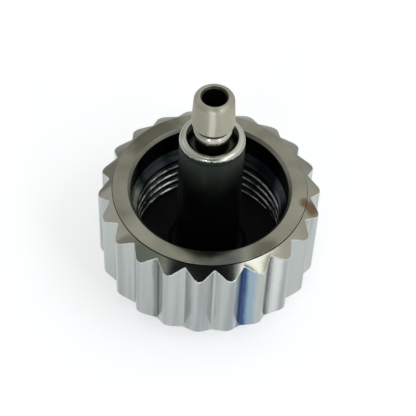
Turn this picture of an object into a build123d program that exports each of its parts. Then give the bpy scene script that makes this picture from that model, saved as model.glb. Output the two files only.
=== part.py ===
"""Screw-down watch crown, sprung type, standing on its outer end face.

The frame has +Z along the crown's axis, from the outer end face to the nose that takes the
winding stem, and its origin at the centre of that end face. All lengths are millimetres and
all angles are degrees.

A fluted shell holds a threaded sleeve, which screws on the case tube. A hollow post stands in
the middle of the shell. A bush with a hexagonal bore closes the post's mouth, and turns the
plunger that slides in it on a coil spring. A flat gasket lies on the shell's floor.
"""
from build123d import *
import math
import os

# Threaded sleeve, which the case tube screws into
thread_major_diameter = 4.92
thread_pitch = 0.35
thread_length = 1.55
thread_run_out = 0.28
bore_relief = 0.02
undercut_depth = 0.09
undercut_headroom = 0.10
sleeve_wall = 0.32
mouth_chamfer = 0.10
rim_flange_overhang = 0.18
rim_flange_thickness = 0.24

# Fluted shell
shell_wall = 0.32
flute_depth = 0.31
flute_count = 22
flute_phase = 5.15
ridge_round = 0.22
valley_round = 0.06
head_height = 3.60
end_wall = 0.50
rim_stand_out = 0.04
rim_bevel_drop = 0.29
end_bevel = 0.34
end_dome_rise = 0.28
end_land_diameter = 3.80

# Gasket on the floor
gasket_thickness = 0.35
gasket_edge_round = 0.09
gasket_clearance = 0.03

# Post, with its root flange set in the shell's end wall
post_stand_out = 2.37
post_wall = 0.12
post_floor = 0.40
root_boss_width = 0.20
root_flange_width = 0.12
root_flange_thickness = 0.25

# Bush in the post's mouth
bush_collar_thickness = 0.26
bush_length = 1.90
bush_wall = 0.12
bush_edge_round = 0.18
bush_countersink_margin = 0.04
bush_bore_clearance = 0.03
bush_corner_round = 0.23

# Plunger
stem_hole_diameter = 0.72
stem_hole_depth = 2.30
stem_countersink = 0.06
neck_wall = 0.16
bead_overhang = 0.06
bead_height = 0.28
bead_lift = 0.15
bead_round = 0.055
groove_height = 0.25
groove_depth = 0.06
nose_base_overhang = 0.08
nose_length = 1.06
nose_taper = 0.06
nose_tip_round = 0.22
drive_depth = 0.35
drive_clearance = 0.02
stop_flange_thickness = 0.25
stop_flange_clearance = 0.03
pilot_length = 0.45
pilot_clearance = 0.08
plunger_travel = 1.30

# Spring under the plunger
spring_wire = 0.16
spring_turns = 8
spring_clearance = 0.06

# Shared by every joint that is pressed together, and by every cut
seat_clearance = 0.005
cut_overrun = 0.50

# Radii that follow from the sleeve outwards
thread_major_radius = thread_major_diameter / 2
thread_minor_radius = thread_major_radius - math.sqrt(3) / 2 * thread_pitch * 5 / 8
plain_bore_radius = thread_major_radius + bore_relief
undercut_radius = thread_major_radius + undercut_depth
sleeve_radius = undercut_radius + sleeve_wall
rim_radius = sleeve_radius + rim_flange_overhang
flute_root_radius = sleeve_radius + shell_wall
crown_radius = flute_root_radius + flute_depth

# Radii that follow from the stem hole outwards
stem_hole_radius = stem_hole_diameter / 2
neck_radius = stem_hole_radius + neck_wall
bead_radius = neck_radius + bead_overhang
nose_base_radius = bead_radius + nose_base_overhang
hex_inner_radius = nose_base_radius + bush_bore_clearance
corner_centre_radius = (hex_inner_radius - bush_corner_round) / math.cos(math.pi / 6)
hex_corner_radius = corner_centre_radius + bush_corner_round
bush_countersink_radius = hex_corner_radius + bush_countersink_margin
post_bore_radius = hex_corner_radius + bush_wall
post_radius = post_bore_radius + post_wall
root_boss_radius = post_radius + root_boss_width
root_flange_radius = root_boss_radius + root_flange_width
spring_outer_radius = post_bore_radius - spring_clearance
pilot_radius = spring_outer_radius - spring_wire - pilot_clearance

# Heights above the end face
rim_z = head_height
flange_seat_z = rim_z - rim_flange_thickness
shell_top_z = rim_z - rim_stand_out
floor_z = end_wall
undercut_top_z = floor_z + gasket_thickness + undercut_headroom
thread_top_z = undercut_top_z + thread_length
root_z = floor_z - root_flange_thickness
bore_floor_z = root_z + post_floor
mouth_z = rim_z + post_stand_out
post_end_z = mouth_z - bush_collar_thickness
bush_end_z = post_end_z - bush_length
drive_top_z = mouth_z - drive_depth
stop_flange_z = bush_end_z - stop_flange_thickness
pilot_end_z = stop_flange_z - pilot_length
bead_bottom_z = mouth_z + bead_lift
bead_top_z = bead_bottom_z + bead_height
nose_base_z = bead_top_z + groove_height
nose_tip_z = nose_base_z + nose_length


def turned(outline):
    """Solid of revolution about Z from an outline drawn in the XZ plane."""
    return revolve(make_face(outline), axis=Axis.Z)


def turned_points(points):
    """Solid of revolution from straight runs through (radius, height) points."""
    corners = [Vector(radius, 0, height) for radius, height in points]
    return turned(Polyline(*corners, close=True))


def round_bar(radius, low, high):
    """Cylinder about Z from height low to height high."""
    return Pos(0, 0, low) * Cylinder(
        radius, high - low, align=(Align.CENTER, Align.CENTER, Align.MIN)
    )


def hexagonal_bar(inner_radius, corner_round, low, high):
    """Six-sided bar about Z, with that radius to its flats, and a rounded corner on the X axis."""
    section = RegularPolygon(inner_radius, side_count=6, major_radius=False)
    bar = extrude(Pos(0, 0, low) * section, amount=high - low)
    return fillet(bar.edges().filter_by(Axis.Z), corner_round)


def polar(radius, angle):
    """Point in the XY plane at that radius and angle."""
    return (radius * math.cos(math.radians(angle)), radius * math.sin(math.radians(angle)))


def flank_ends():
    """Ends of the straight flank that is tangent to a ridge's arc and the next valley's arc.

    Each is a radius, and an angle from the ridge.
    """
    ridge_centre = Vector(crown_radius - ridge_round, 0)
    valley_centre = Vector(*polar(flute_root_radius + valley_round, 180 / flute_count))
    run = valley_centre - ridge_centre
    lean = math.asin((ridge_round + valley_round) / run.length)
    outward = run.normalized().rotate(Axis.Z, math.degrees(lean) - 90)
    ends = []
    for point in (ridge_centre + outward * ridge_round, valley_centre - outward * valley_round):
        ends.append((point.length, math.degrees(math.atan2(point.Y, point.X))))
    return ends


def flute_outline():
    """Closed wire of rounded ridges, straight flanks and tight valleys."""
    pitch_angle = 360 / flute_count
    (ridge_end_radius, ridge_end), (valley_end_radius, valley_end) = flank_ends()
    edges = []
    for index in range(flute_count):
        ridge = flute_phase + index * pitch_angle
        valley = ridge + pitch_angle / 2
        ridge_stop = polar(ridge_end_radius, ridge + ridge_end)
        valley_start = polar(valley_end_radius, ridge + valley_end)
        valley_stop = polar(valley_end_radius, ridge + pitch_angle - valley_end)
        next_ridge = polar(ridge_end_radius, ridge + pitch_angle - ridge_end)
        ridge_top = polar(crown_radius, ridge)
        edges.append(ThreePointArc(polar(ridge_end_radius, ridge - ridge_end), ridge_top, ridge_stop))
        edges.append(Line(ridge_stop, valley_start))
        edges.append(ThreePointArc(valley_start, polar(flute_root_radius, valley), valley_stop))
        edges.append(Line(valley_stop, next_ridge))
    return Wire(edges)


def build_fluted_shell():
    """Cup with a fluted side, bevelled at both ends, and a domed end with a flat land."""
    land_radius = end_land_diameter / 2
    dome_edge = Vector(crown_radius - end_bevel, 0, end_dome_rise)
    land_edge = Vector(land_radius, 0, 0)
    rim_start = Vector(rim_radius, 0, shell_top_z)
    bevel_end = Vector(crown_radius, 0, shell_top_z - rim_bevel_drop)
    side_foot = Vector(crown_radius, 0, end_dome_rise + end_bevel)
    axis_top = Vector(0, 0, shell_top_z)
    envelope = turned(
        [
            Line(Vector(0, 0, 0), land_edge),
            TangentArc(land_edge, dome_edge, tangent=Vector(1, 0, 0)),
            Polyline(dome_edge, side_foot, bevel_end, rim_start, axis_top, Vector(0, 0, 0)),
        ]
    )
    blank = extrude(make_face(flute_outline()), amount=shell_top_z)
    top = shell_top_z + cut_overrun
    hollow = round_bar(sleeve_radius + seat_clearance, floor_z, top)
    flange_recess = round_bar(rim_radius + seat_clearance, flange_seat_z, top)
    root_recess = round_bar(root_flange_radius + seat_clearance, root_z, top)
    return (blank & envelope) - hollow - flange_recess - root_recess


def thread_groove():
    """Helical groove of 60 degree form that runs out in the undercut and in the plain bore."""
    height = thread_length + 2 * thread_run_out
    helix = Pos(0, 0, undercut_top_z - thread_run_out) * Helix(
        pitch=thread_pitch, height=height, radius=thread_minor_radius
    )
    depth = thread_major_radius - thread_minor_radius
    inward = depth / 4
    half_root = thread_pitch / 16
    half_mouth = half_root + (depth + inward) * math.tan(math.radians(30))
    start = Plane(origin=helix @ 0, x_dir=Vector(1, 0, 0), z_dir=helix % 0)
    section = start * make_face(
        Polyline(
            (-inward, -half_mouth),
            (depth, -half_root),
            (depth, half_root),
            (-inward, half_mouth),
            close=True,
        )
    )
    return sweep(section, path=helix, is_frenet=True)


def build_threaded_sleeve():
    """Sleeve with the rim flange, the mouth chamfer, a plain bore, the thread and an undercut."""
    lead_in = plain_bore_radius - thread_minor_radius
    blank = turned_points(
        [
            (undercut_radius, floor_z),
            (sleeve_radius, floor_z),
            (sleeve_radius, flange_seat_z),
            (rim_radius, flange_seat_z),
            (rim_radius, rim_z),
            (plain_bore_radius + mouth_chamfer, rim_z),
            (plain_bore_radius, rim_z - mouth_chamfer),
            (plain_bore_radius, thread_top_z + lead_in),
            (thread_minor_radius, thread_top_z),
            (thread_minor_radius, undercut_top_z),
            (undercut_radius, undercut_top_z),
        ]
    )
    return blank - thread_groove()


def build_floor_gasket():
    """Flat rubber ring with rounded edges round the boss at the post's foot."""
    inner_radius = root_boss_radius + gasket_clearance
    outer_radius = undercut_radius - gasket_clearance
    middle = Pos((inner_radius + outer_radius) / 2, 0, floor_z + gasket_thickness / 2)
    section = RectangleRounded(outer_radius - inner_radius, gasket_thickness, gasket_edge_round)
    return revolve(middle * Rot(X=90) * section, axis=Axis.Z)


def build_post_tube():
    """Blind tube with a root flange, and a boss that the gasket fits round."""
    body = turned_points(
        [
            (0, root_z),
            (root_flange_radius, root_z),
            (root_flange_radius, floor_z),
            (root_boss_radius, floor_z),
            (root_boss_radius, undercut_top_z),
            (post_radius, undercut_top_z),
            (post_radius, post_end_z),
            (0, post_end_z),
        ]
    )
    return body - round_bar(post_bore_radius, bore_floor_z, post_end_z + cut_overrun)


def build_drive_bush():
    """Bush with a rounded collar on the post's end, and a countersunk hexagonal bore."""
    blank = turned_points(
        [
            (0, bush_end_z),
            (post_bore_radius - seat_clearance, bush_end_z),
            (post_bore_radius - seat_clearance, post_end_z),
            (post_radius, post_end_z),
            (post_radius, mouth_z),
            (0, mouth_z),
        ]
    )
    top_edge = blank.edges().filter_by(GeomType.CIRCLE).group_by(Axis.Z)[-1]
    blank = fillet(top_edge, bush_edge_round)
    bore = hexagonal_bar(
        hex_inner_radius, bush_corner_round, bush_end_z - cut_overrun, mouth_z + cut_overrun
    )
    countersink = turned_points(
        [
            (0, mouth_z - bush_countersink_radius),
            (bush_countersink_radius, mouth_z),
            (bush_countersink_radius, mouth_z + cut_overrun),
            (0, mouth_z + cut_overrun),
        ]
    )
    return blank - bore - countersink


def build_plunger():
    """Bullet nose with the stem hole, a bead, a neck, a hexagonal drive and a stop flange."""
    tip_radius = nose_base_radius - nose_taper
    groove_radius = bead_radius - groove_depth
    head = turned_points(
        [
            (0, drive_top_z),
            (neck_radius, drive_top_z),
            (neck_radius, bead_bottom_z),
            (bead_radius, bead_bottom_z),
            (bead_radius, bead_top_z),
            (groove_radius, bead_top_z),
            (groove_radius, nose_base_z),
            (nose_base_radius, nose_base_z),
            (tip_radius, nose_tip_z),
            (0, nose_tip_z),
        ]
    )
    head = fillet(head.edges().filter_by(GeomType.CIRCLE).group_by(Axis.Z)[-1], nose_tip_round)
    bead_edges = [
        edge
        for edge in head.edges().filter_by(GeomType.CIRCLE)
        if math.isclose(edge.radius, bead_radius) and edge.center().Z < nose_base_z
    ]
    head = fillet(bead_edges, bead_round)
    drive = hexagonal_bar(
        hex_inner_radius - drive_clearance,
        bush_corner_round - drive_clearance,
        bush_end_z,
        drive_top_z,
    )
    stop = round_bar(post_bore_radius - stop_flange_clearance, stop_flange_z, bush_end_z)
    pilot = round_bar(pilot_radius, pilot_end_z, stop_flange_z)
    hole = turned_points(
        [
            (0, nose_tip_z - stem_hole_depth - stem_hole_radius),
            (stem_hole_radius, nose_tip_z - stem_hole_depth),
            (stem_hole_radius, nose_tip_z - stem_countersink),
            (stem_hole_radius + stem_countersink, nose_tip_z),
            (stem_hole_radius + stem_countersink, nose_tip_z + cut_overrun),
            (0, nose_tip_z + cut_overrun),
        ]
    )
    return head + drive + stop + pilot - hole


def build_plunger_spring():
    """Open coil spring between the post's floor and the underside of the stop flange."""
    wire_radius = spring_wire / 2
    coil_radius = spring_outer_radius - wire_radius
    height = stop_flange_z - bore_floor_z - spring_wire
    helix = Pos(0, 0, bore_floor_z + wire_radius) * Helix(
        pitch=height / spring_turns, height=height, radius=coil_radius
    )
    section = Plane(origin=helix @ 0, z_dir=helix % 0) * Circle(wire_radius)
    return sweep(section, path=helix, is_frenet=True)


def main():
    """Builds each piece and writes it as its own STEP file."""
    pieces = {
        "fluted_shell": build_fluted_shell(),
        "threaded_sleeve": build_threaded_sleeve(),
        "floor_gasket": build_floor_gasket(),
        "post_tube": build_post_tube(),
        "drive_bush": build_drive_bush(),
        "plunger": build_plunger(),
        "plunger_spring": build_plunger_spring(),
    }
    os.makedirs("parts", exist_ok=True)
    for name, piece in pieces.items():
        export_step(piece, f"parts/{name}.step")
    solid_spring = (spring_turns + 1) * spring_wire
    pressed_spring = stop_flange_z - bore_floor_z - plunger_travel
    print("crown diameter", round(2 * crown_radius, 3), "nose tip", round(nose_tip_z, 3))
    print("spring when pressed", round(pressed_spring, 3), "solid", round(solid_spring, 3))


main()
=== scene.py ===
"""Looks of a screw-down watch crown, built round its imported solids.

The crown stands on its outer end with the open threaded side up. The frame has +Z along its
axis and its origin at the centre of the outer end, and lengths here are millimetres until a
mesh is made, which is in metres. Each class below builds one sub-assembly on that frame.
"""
import logging
import math
from collections.abc import Callable, Sequence
from dataclasses import dataclass
from enum import Enum, IntEnum
from typing import ClassVar

import bmesh
import bpy
from mathutils import Matrix, Vector

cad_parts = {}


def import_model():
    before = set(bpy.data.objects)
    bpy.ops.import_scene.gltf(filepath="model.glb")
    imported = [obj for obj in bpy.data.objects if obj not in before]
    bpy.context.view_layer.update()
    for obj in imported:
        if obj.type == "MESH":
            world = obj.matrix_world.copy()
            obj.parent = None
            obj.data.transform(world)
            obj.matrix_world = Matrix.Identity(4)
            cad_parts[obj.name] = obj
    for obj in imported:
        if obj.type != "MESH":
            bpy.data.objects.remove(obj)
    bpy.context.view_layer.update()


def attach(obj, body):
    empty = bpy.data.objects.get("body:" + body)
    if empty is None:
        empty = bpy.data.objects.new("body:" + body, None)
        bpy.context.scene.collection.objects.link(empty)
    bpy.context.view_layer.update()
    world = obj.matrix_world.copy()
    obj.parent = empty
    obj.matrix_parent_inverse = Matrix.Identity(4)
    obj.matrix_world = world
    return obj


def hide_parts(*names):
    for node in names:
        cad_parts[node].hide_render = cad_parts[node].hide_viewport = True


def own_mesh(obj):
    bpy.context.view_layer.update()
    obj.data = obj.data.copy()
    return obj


MM = 0.001
MICRON = MM * MM
WHITE = "#ffffff"
# Points nearer than the first are welded into one, and shorter edges than the second go.
WELD_REACH_M = 2e-8
SLIVER_EDGE_M = 1e-8
LOG = logging.getLogger("watch_crown")
# Radius and height in millimetres and the finish's slot, for each point of a profile.
Column = list[tuple[float, float, int]]


class Body(Enum):
    """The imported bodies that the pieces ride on."""

    HEAD = "head"
    PLUNGER = "plunger"


class Grain(Enum):
    """The way a cutting tool or abrasive left its lines on a surface."""

    TURNED = "rings round the axis"
    DRAWN = "lines along the axis"
    TUMBLED = "no direction"


class ShellFace(IntEnum):
    """The finishes of the fluted shell, in the order of its material slots."""

    SIDE = 0
    BEVEL = 1
    END = 2
    EDGE = 3


class SleeveFace(IntEnum):
    """The finishes of the threaded sleeve, in the order of its material slots."""

    RIM = 0
    CHAMFER = 1
    BORE = 2
    CREST = 3


class TubeFace(IntEnum):
    """The finishes of the post's tube, in the order of its material slots."""

    WALL = 0
    FOOT = 1


class BushFace(IntEnum):
    """The finishes of the drive bush, in the order of its material slots."""

    COLLAR = 0
    BORE = 1
    MOUTH = 2


class PlungerFace(IntEnum):
    """The finishes of the plunger, in the order of its material slots."""

    NOSE = 0
    INSIDE = 1
    BEAD = 2


def linear(hex_colour: str) -> tuple[float, float, float, float]:
    """Turns an sRGB hex colour to linear values.

    Args:
        hex_colour: Six hex digits after a hash sign.

    Returns:
        Red, green, blue and an alpha of one.
    """
    channels = [int(hex_colour[i : i + 2], 16) / 255 for i in (1, 3, 5)]
    parts = [c / 12.92 if c <= 0.04045 else ((c + 0.055) / 1.055) ** 2.4 for c in channels]
    return (parts[0], parts[1], parts[2], 1.0)


def add_node(
    tree: bpy.types.NodeTree,
    kind: str,
    settings: dict[str, object] | None = None,
    inputs: dict[str | int, object] | None = None,
) -> bpy.types.Node:
    """Adds a shader node, with its settings and what feeds its sockets.

    Args:
        tree: The node tree to add to.
        kind: The node's type, such as ShaderNodeMath.
        settings: Node attributes and their values.
        inputs: Socket names or numbers, each with a value or an output socket to link.

    Returns:
        The new node.
    """
    node = tree.nodes.new(kind)
    for key, value in (settings or {}).items():
        setattr(node, key, value)
    for key, value in (inputs or {}).items():
        if isinstance(value, bpy.types.NodeSocket):
            tree.links.new(value, node.inputs[key])
        else:
            node.inputs[key].default_value = value
    return node


def empty_tree(owner: bpy.types.Material | bpy.types.World) -> bpy.types.NodeTree:
    """Gives a material or a world its own node tree, with nothing in it yet.

    Args:
        owner: The new material or world.

    Returns:
        Its node tree.
    """
    owner.use_nodes = True
    owner.node_tree.nodes.clear()
    return owner.node_tree


def add_object(name: str, data: bpy.types.ID) -> bpy.types.Object:
    """Adds an object to the scene.

    Args:
        name: Its name.
        data: Its mesh, lamp or lens.

    Returns:
        The object, at the origin.
    """
    added = bpy.data.objects.new(name, data)
    bpy.context.scene.collection.objects.link(added)
    return added


@dataclass(frozen=True)
class StainAndPaintedLight:
    """A soft-edged mark that runs along the axis, at one place round the crown.

    Some stand for oil, heat tint and wear on the real steel, and the rest are painted shade,
    painted highlights and painted reflections. A noise drawn out along the axis adds up to WANDER
    reaches to the distance from its middle, and the mark fades as that distance grows from
    FADE_FROM to FADE_TO reaches.
    """

    degrees: float
    radius_mm: float
    reach_mm: float
    colour: str
    strength: float
    CELLS_PER_MM: ClassVar[float] = 2.6
    ALONG_AXIS: ClassVar[float] = 0.4
    DETAIL: ClassVar[float] = 5.0
    WANDER: ClassVar[float] = 0.8
    FADE_FROM: ClassVar[float] = 0.8
    FADE_TO: ClassVar[float] = 1.7

    def mix(
        self, tree: bpy.types.NodeTree, in_mm: bpy.types.NodeSocket, under: bpy.types.NodeSocket
    ) -> bpy.types.NodeSocket:
        """Lays the mark over a colour, with an edge that wanders a little.

        Args:
            tree: The material's node tree.
            in_mm: The place on the crown, in millimetres.
            under: The colour below.

        Returns:
            The socket that gives the marked colour.
        """
        turn = math.radians(self.degrees)
        place = (self.radius_mm * math.cos(turn), self.radius_mm * math.sin(turn), 0.0)
        flat = add_node(
            tree, "ShaderNodeVectorMath", {"operation": "MULTIPLY"}, {0: in_mm, 1: (1, 1, 0)}
        )
        away = add_node(
            tree, "ShaderNodeVectorMath", {"operation": "DISTANCE"}, {0: flat.outputs[0], 1: place}
        )
        along = add_node(
            tree,
            "ShaderNodeVectorMath",
            {"operation": "MULTIPLY"},
            {0: in_mm, 1: (1, 1, self.ALONG_AXIS)},
        )
        wander = add_node(
            tree,
            "ShaderNodeTexNoise",
            inputs={
                "Vector": along.outputs[0],
                "Scale": self.CELLS_PER_MM,
                "Detail": self.DETAIL,
            },
        )
        edge = add_node(
            tree,
            "ShaderNodeMath",
            {"operation": "MULTIPLY_ADD"},
            {
                0: wander.outputs["Fac"],
                1: self.reach_mm * self.WANDER,
                2: away.outputs["Value"],
            },
        )
        share = add_node(
            tree,
            "ShaderNodeMapRange",
            {"interpolation_type": "SMOOTHSTEP"},
            {
                "Value": edge.outputs[0],
                "From Min": self.reach_mm * self.FADE_FROM,
                "From Max": self.reach_mm * self.FADE_TO,
                "To Min": self.strength,
                "To Max": 0.0,
            },
        )
        marked = add_node(
            tree,
            "ShaderNodeMix",
            {"data_type": "RGBA"},
            {"Factor": share.outputs["Result"], "A": under, "B": linear(self.colour)},
        )
        return marked.outputs[2]


@dataclass(frozen=True)
class SteelFinish:
    """A stainless steel surface: a metal, so its colour is its reflection.

    Machined stainless steel reflects a slightly warm grey. Fine lathe lines spread its highlights
    across them, and handling leaves soft dull patches of oil. Lines from a fine cut are
    typically about 0.01 mm apart, and the pits as small, which is finer than a pixel. So the
    lines are drawn 2 to 5 times as coarse, and the pits 6 times.

    The numbers in capitals shape the noises, and all the steels share them. An EDGE pair is the
    part of a noise's range over which a patch or a dull spot fades in.
    """

    name: str
    colour: str
    roughness: float
    grain: Grain
    line_spacing_mm: float
    line_depth_um: float
    patch_colour: str
    patch_share: float = 0.25
    patch_size_mm: float = 0.9
    patch_stretch: float = 1.0
    patch_roughness: float = 0.12
    pit_depth_um: float = 0.6
    anisotropy: float = 0.0
    stains_and_painted_light: tuple[StainAndPaintedLight, ...] = ()
    PIT_SPACING_MM: ClassVar[float] = 0.0625
    PIT_DETAIL: ClassVar[float] = 3.0
    PATCH_DETAIL: ClassVar[float] = 5.0
    PATCH_EDGE: ClassVar[tuple[float, float]] = (0.42, 0.68)
    DULL_EDGE: ClassVar[tuple[float, float]] = (0.3, 0.7)
    QUARTER_TURN: ClassVar[float] = 0.25
    LINE_DETAIL: ClassVar[float] = 2.0
    TURNED_WAVES: ClassVar[float] = 1.5
    DRAWN_CELLS_PER_MM: ClassVar[float] = 0.4
    DRAWN_RADIUS_MM: ClassVar[float] = 3.0
    TUMBLED_SHARE: ClassVar[float] = 0.4

    def build(self) -> bpy.types.Material:
        """Makes the node material.

        Returns:
            The material, named for the steel and its finish.
        """
        material = bpy.data.materials.new(self.name)
        tree = empty_tree(material)
        place = add_node(tree, "ShaderNodeTexCoord")
        in_mm = add_node(
            tree,
            "ShaderNodeVectorMath",
            {"operation": "SCALE"},
            {0: place.outputs["Object"], "Scale": 1 / MM},
        )
        lines = self._lines(tree, in_mm.outputs[0])
        along = add_node(
            tree,
            "ShaderNodeVectorMath",
            {"operation": "MULTIPLY"},
            {0: in_mm.outputs[0], 1: (1, 1, 1 / self.patch_stretch)},
        )
        patches = add_node(
            tree,
            "ShaderNodeTexNoise",
            inputs={
                "Vector": along.outputs[0],
                "Scale": 1 / self.patch_size_mm,
                "Detail": self.PATCH_DETAIL,
            },
        )
        pits = add_node(
            tree,
            "ShaderNodeTexNoise",
            inputs={
                "Vector": in_mm.outputs[0],
                "Scale": 1 / self.PIT_SPACING_MM,
                "Detail": self.PIT_DETAIL,
            },
        )
        spread = add_node(
            tree,
            "ShaderNodeMapRange",
            {"interpolation_type": "SMOOTHSTEP"},
            {
                "Value": patches.outputs["Fac"],
                "From Min": self.PATCH_EDGE[0],
                "From Max": self.PATCH_EDGE[1],
            },
        )
        amount = add_node(
            tree,
            "ShaderNodeMath",
            {"operation": "MULTIPLY"},
            {0: spread.outputs["Result"], 1: self.patch_share},
        )
        colour = add_node(
            tree,
            "ShaderNodeMix",
            {"data_type": "RGBA"},
            {
                "Factor": amount.outputs[0],
                "A": linear(self.colour),
                "B": linear(self.patch_colour),
            },
        )
        tint = colour.outputs[2]
        for mark in self.stains_and_painted_light:
            tint = mark.mix(tree, in_mm.outputs[0], tint)
        roughness = add_node(
            tree,
            "ShaderNodeMapRange",
            inputs={
                "Value": patches.outputs["Fac"],
                "From Min": self.DULL_EDGE[0],
                "From Max": self.DULL_EDGE[1],
                "To Min": self.roughness,
                "To Max": self.roughness + self.patch_roughness,
            },
        )
        cut = add_node(
            tree,
            "ShaderNodeBump",
            inputs={
                "Height": lines,
                "Distance": self.line_depth_um * MICRON,
                "Strength": 1.0,
            },
        )
        worn = add_node(
            tree,
            "ShaderNodeBump",
            inputs={
                "Height": pits.outputs["Fac"],
                "Distance": self.pit_depth_um * MICRON,
                "Strength": 1.0,
                "Normal": cut.outputs["Normal"],
            },
        )
        round_the_axis = add_node(
            tree, "ShaderNodeTangent", {"direction_type": "RADIAL", "axis": "Z"}
        )
        shader = add_node(
            tree,
            "ShaderNodeBsdfPrincipled",
            inputs={
                "Base Color": tint,
                "Metallic": 1.0,
                "Roughness": roughness.outputs["Result"],
                "Anisotropic": self.anisotropy,
                "Anisotropic Rotation": self.QUARTER_TURN,
                "Tangent": round_the_axis.outputs["Tangent"],
                "Normal": worn.outputs["Normal"],
            },
        )
        add_node(
            tree, "ShaderNodeOutputMaterial", inputs={"Surface": shader.outputs["BSDF"]}
        )
        return material

    def _lines(
        self, tree: bpy.types.NodeTree, in_mm: bpy.types.NodeSocket
    ) -> bpy.types.NodeSocket:
        """Height of the tool lines, drawn in coordinates that go with the cut.

        Args:
            tree: The material's node tree.
            in_mm: The place on the crown, in millimetres.

        Returns:
            The socket that gives the height.
        """
        parts = add_node(tree, "ShaderNodeSeparateXYZ", inputs={0: in_mm})
        flat = add_node(
            tree, "ShaderNodeVectorMath", {"operation": "MULTIPLY"}, {0: in_mm, 1: (1, 1, 0)}
        )
        radius = add_node(
            tree, "ShaderNodeVectorMath", {"operation": "LENGTH"}, {0: flat.outputs[0]}
        )
        heading = add_node(
            tree, "ShaderNodeVectorMath", {"operation": "NORMALIZE"}, {0: flat.outputs[0]}
        )
        round_the_axis = add_node(
            tree, "ShaderNodeSeparateXYZ", inputs={0: heading.outputs[0]}
        )
        fine = 1 / self.line_spacing_mm
        across, around = {
            Grain.TURNED: (fine, self.TURNED_WAVES),
            Grain.DRAWN: (self.DRAWN_CELLS_PER_MM, fine * self.DRAWN_RADIUS_MM),
            Grain.TUMBLED: (fine * self.TUMBLED_SHARE, fine),
        }[self.grain]
        scaled = [
            add_node(tree, "ShaderNodeMath", {"operation": "MULTIPLY"}, {0: source, 1: scale})
            for source, scale in (
                (radius.outputs["Value"], across),
                (parts.outputs["Z"], across),
                (round_the_axis.outputs["X"], around),
                (round_the_axis.outputs["Y"], around),
            )
        ]
        spot = add_node(
            tree,
            "ShaderNodeCombineXYZ",
            inputs={0: scaled[0].outputs[0], 1: scaled[1].outputs[0], 2: scaled[2].outputs[0]},
        )
        noise = add_node(
            tree,
            "ShaderNodeTexNoise",
            {"noise_dimensions": "4D"},
            {
                "Vector": spot.outputs[0],
                "W": scaled[3].outputs[0],
                "Scale": 1.0,
                "Detail": self.LINE_DETAIL,
            },
        )
        return noise.outputs["Fac"]


@dataclass(frozen=True)
class RubberFinish:
    """Moulded nitrile rubber: matte black, with almost no sheen and a fine mould grain.

    A mould's grain is typically about 0.02 mm, which is too fine to show, so it is drawn
    coarser, at 0.05 mm.
    """

    name: str
    colour: str
    grain_colour: str
    roughness: float
    grain_mm: float
    grain_depth_um: float = 4.0
    ior: float = 1.52
    GRAIN_DETAIL: ClassVar[float] = 3.0

    def build(self) -> bpy.types.Material:
        """Makes the node material.

        Returns:
            The material, named for the rubber and how it was made.
        """
        material = bpy.data.materials.new(self.name)
        tree = empty_tree(material)
        place = add_node(tree, "ShaderNodeTexCoord")
        grain = add_node(
            tree,
            "ShaderNodeTexNoise",
            inputs={
                "Vector": place.outputs["Object"],
                "Scale": 1 / (self.grain_mm * MM),
                "Detail": self.GRAIN_DETAIL,
            },
        )
        bump = add_node(
            tree,
            "ShaderNodeBump",
            inputs={"Height": grain.outputs["Fac"], "Distance": self.grain_depth_um * MICRON},
        )
        tint = add_node(
            tree,
            "ShaderNodeMix",
            {"data_type": "RGBA"},
            {
                "Factor": grain.outputs["Fac"],
                "A": linear(self.colour),
                "B": linear(self.grain_colour),
            },
        )
        shader = add_node(
            tree,
            "ShaderNodeBsdfPrincipled",
            inputs={
                "Base Color": tint.outputs[2],
                "Roughness": self.roughness,
                "IOR": self.ior,
                "Normal": bump.outputs["Normal"],
            },
        )
        add_node(
            tree, "ShaderNodeOutputMaterial", inputs={"Surface": shader.outputs["BSDF"]}
        )
        return material


@dataclass(frozen=True)
class Corner:
    """One corner of a turned profile.

    The finish is that of the run that leaves the corner, and a round of zero is a sharp edge.
    The round takes the same finish, unless it has its own.
    """

    radius: float
    height: float
    round: float = 0.0
    finish: int = 0
    round_finish: int | None = None


def rounded_column(corners: Sequence[Corner], closed: bool, steps: int) -> Column:
    """Rounds a profile's corners, with the same number of points whatever the sizes.

    Args:
        corners: The corners in order.
        closed: Whether the last corner joins the first.
        steps: Points on each rounded corner, less one.

    Returns:
        Radius, height and finish of each point.
    """
    most_of_a_run = 0.98
    points: Column = []
    count = len(corners)
    spots = [Vector((corner.radius, corner.height)) for corner in corners]
    halves, wanted = [0.0] * count, [0.0] * count
    for index, corner in enumerate(corners):
        if corner.round > 0 and (closed or 0 < index < count - 1):
            to_before = spots[index - 1] - spots[index]
            to_after = spots[(index + 1) % count] - spots[index]
            halves[index] = to_before.angle(to_after) / 2
            wanted[index] = corner.round / math.tan(halves[index])
    for index, corner in enumerate(corners):
        here = spots[index]
        if wanted[index] <= 0:
            points.append((here.x, here.y, corner.finish))
            continue
        after = (index + 1) % count
        to_before = spots[index - 1] - here
        to_after = spots[after] - here
        half = halves[index]
        room_before = most_of_a_run * to_before.length / (wanted[index] + wanted[index - 1])
        room_after = most_of_a_run * to_after.length / (wanted[index] + wanted[after])
        reach = wanted[index] * min(1.0, room_before, room_after)
        fillet = reach * math.tan(half)
        middle = (to_before.normalized() + to_after.normalized()).normalized()
        centre = here + middle * (fillet / math.sin(half))
        start = here + to_before.normalized() * reach - centre
        end = here + to_after.normalized() * reach - centre
        sweep = start.angle_signed(end)
        for step in range(steps + 1):
            turn = -sweep * step / steps
            point = centre + Matrix.Rotation(turn, 2) @ start
            worn = corner.round_finish is not None and step < steps
            points.append((point.x, point.y, corner.round_finish if worn else corner.finish))
    return points


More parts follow.
